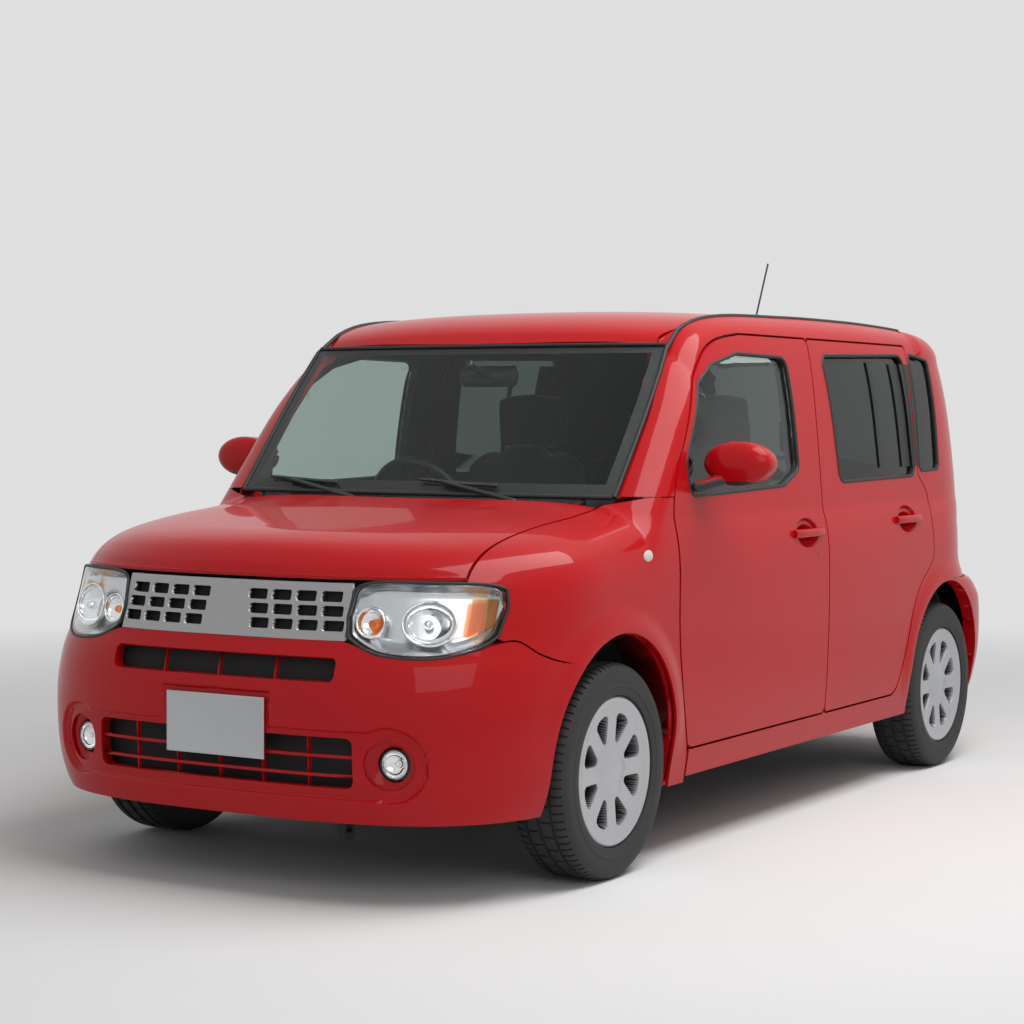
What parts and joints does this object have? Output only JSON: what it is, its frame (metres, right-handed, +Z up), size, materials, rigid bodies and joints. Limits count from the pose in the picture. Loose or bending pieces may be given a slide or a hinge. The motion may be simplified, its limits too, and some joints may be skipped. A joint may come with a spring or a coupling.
{
  "type": "boxy compact car",
  "caption": "Boxy compact hatchback car with opening doors, bonnet and side-hinged tailgate, steered front wheels and a furnished cabin.",
  "frame": {"origin": "on the ground under the middle of the car", "axes": "+X forward, +Y to the left of the driver, +Z up"},
  "size_m": [3.8864, 2.0478, 1.8996],
  "materials": {
    "red_paint": "gloss",
    "red_plastic": "gloss",
    "steel": "satin",
    "cast": "rough",
    "exhaust_steel": "brushed",
    "glass": "clear",
    "black_plastic": "matt",
    "black_paint": "satin",
    "cloth": "woven",
    "tyre": "matt",
    "wheel_silver": "satin",
    "grille_silver": "brushed",
    "lamp_clear": "clear",
    "lamp_red": "gloss"
  },
  "bodies": {
    "body": {"platform": "steel", "body_side_left": "red_paint", "body_side_right": "red_paint", "roof": "red_paint", "fender_left": "red_paint", "fender_right": "red_paint", "scuttle": "black_plastic", "front_bumper": "red_plastic", "grille": "grille_silver", "headlamps": "lamp_clear", "fog_lamps": "lamp_clear", "rear_bumper": "red_plastic", "tail_lamps": "lamp_red", "windscreen": "glass", "quarter_glass": "glass", "wipers": "black_plastic", "aerial": "black_plastic", "hinges": "steel", "wheel_liners": "black_plastic", "engine": "cast", "front_subframe": "black_paint", "rear_axle": "black_paint", "fuel_tank": "black_plastic", "exhaust": "exhaust_steel", "dashboard": "black_plastic", "front_seats": "cloth", "rear_seat": "cloth", "interior_mirror": "black_plastic"},
    "bonnet": {"bonnet": "red_paint"},
    "front_door_left": {"door_fl": "red_paint", "glass_fl": "glass", "mirror_left": "red_plastic"},
    "rear_door_left": {"door_rl": "red_paint", "glass_rl": "glass"},
    "front_door_right": {"door_fr": "red_paint", "glass_fr": "glass", "mirror_right": "red_plastic"},
    "rear_door_right": {"door_rr": "red_paint", "glass_rr": "glass"},
    "tailgate": {"tailgate": "red_paint", "tailgate_glass": "glass"},
    "knuckle_left": {"knuckle_left": "steel"},
    "knuckle_right": {"knuckle_right": "steel"},
    "steering_wheel": {"steering_wheel": "black_plastic"},
    "wheel_front_left": {"wheel_fl": "wheel_silver", "tyre_fl": "tyre"},
    "wheel_front_right": {"wheel_fr": "wheel_silver", "tyre_fr": "tyre"},
    "wheel_rear_left": {"wheel_rl": "wheel_silver", "tyre_rl": "tyre"},
    "wheel_rear_right": {"wheel_rr": "wheel_silver", "tyre_rr": "tyre"}
  },
  "joints": [
    {"name": "bonnet_hinge", "type": "hinge", "parent": "body", "child": "bonnet", "pos_m": [0.955, 0, 1.04], "axis": [0, -1, 0], "range_deg": [0, 50]},
    {"name": "front_door_left_hinge", "type": "hinge", "parent": "body", "child": "front_door_left", "pos_m": [0.785, 0.82351, 0.65], "axis": [0, 0, -1], "range_deg": [0, 70]},
    {"name": "rear_door_left_hinge", "type": "hinge", "parent": "body", "child": "rear_door_left", "pos_m": [-0.298, 0.82351, 0.65], "axis": [0, 0, -1], "range_deg": [0, 70]},
    {"name": "front_door_right_hinge", "type": "hinge", "parent": "body", "child": "front_door_right", "pos_m": [0.785, -0.82351, 0.65], "axis": [0, 0, 1], "range_deg": [0, 70]},
    {"name": "rear_door_right_hinge", "type": "hinge", "parent": "body", "child": "rear_door_right", "pos_m": [-0.298, -0.82351, 0.65], "axis": [0, 0, 1], "range_deg": [0, 70]},
    {"name": "tailgate_hinge", "type": "hinge", "parent": "body", "child": "tailgate", "pos_m": [-1.80366, -0.56, 0.885], "axis": [0, 0, 1], "range_deg": [0, 90]},
    {"name": "left_kingpin", "type": "hinge", "parent": "body", "child": "knuckle_left", "pos_m": [1.19, 0.69, 0.19], "axis": [-0.0459, -0.1988, 0.979], "range_deg": [-35, 35]},
    {"name": "right_kingpin", "type": "hinge", "parent": "body", "child": "knuckle_right", "pos_m": [1.19, -0.69, 0.19], "axis": [-0.0459, 0.1988, 0.979], "range_deg": [-35, 35]},
    {"name": "steering_column", "type": "hinge", "parent": "body", "child": "steering_wheel", "pos_m": [0.43, -0.36, 0.955], "axis": [-0.9135, 0, 0.4067], "range_deg": [-595, 595]},
    {"name": "front_left_wheel_spin", "type": "hinge", "parent": "knuckle_left", "child": "wheel_front_left", "pos_m": [1.185, 0.7375, 0.304], "axis": [0, 1, 0], "continuous": true},
    {"name": "front_right_wheel_spin", "type": "hinge", "parent": "knuckle_right", "child": "wheel_front_right", "pos_m": [1.185, -0.7375, 0.304], "axis": [0, 1, 0], "continuous": true},
    {"name": "rear_left_wheel_spin", "type": "hinge", "parent": "body", "child": "wheel_rear_left", "pos_m": [-1.345, 0.7375, 0.304], "axis": [0, 1, 0], "continuous": true},
    {"name": "rear_right_wheel_spin", "type": "hinge", "parent": "body", "child": "wheel_rear_right", "pos_m": [-1.345, -0.7375, 0.304], "axis": [0, 1, 0], "continuous": true}
  ],
  "couplings": [
    {"joint": "right_kingpin", "follows": "left_kingpin", "ratio": 1},
    {"joint": "steering_column", "follows": "left_kingpin", "ratio": 17}
  ]
}
